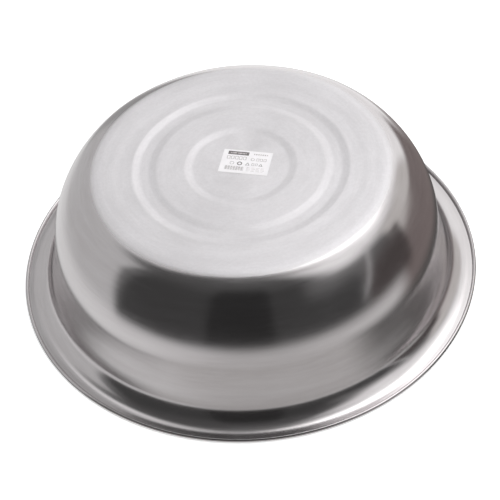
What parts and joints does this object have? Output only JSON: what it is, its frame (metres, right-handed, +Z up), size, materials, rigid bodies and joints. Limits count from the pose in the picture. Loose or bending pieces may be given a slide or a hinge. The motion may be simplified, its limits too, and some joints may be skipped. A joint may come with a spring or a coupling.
{
  "type": "mixing bowl",
  "caption": "Large round mixing basin of thin stainless sheet, with a rounded wall, a wide brim with a rolled edge, a ringed flat base and a paper label, standing upside down.",
  "frame": {"origin": "centre of the rim, on the surface the rim rests on; the bowl stands upside down", "axes": "+Z up from the rim to the base, along the axis of the round bowl; +X along the long side of the paper label; a half turn about X stands the bowl upright"},
  "size_m": [0.4399, 0.44, 0.13],
  "materials": {
    "steel": "fine circular brushing, satin",
    "label_glue": "thin soft pressure-sensitive glue",
    "label_paper": "smooth coated paper",
    "label_ink": "matt black print"
  },
  "bodies": {
    "root": {"bowl_shell": "steel", "label_glue": "label_glue", "label_paper": "label_paper", "label_print": "label_ink"}
  },
  "joints": []
}
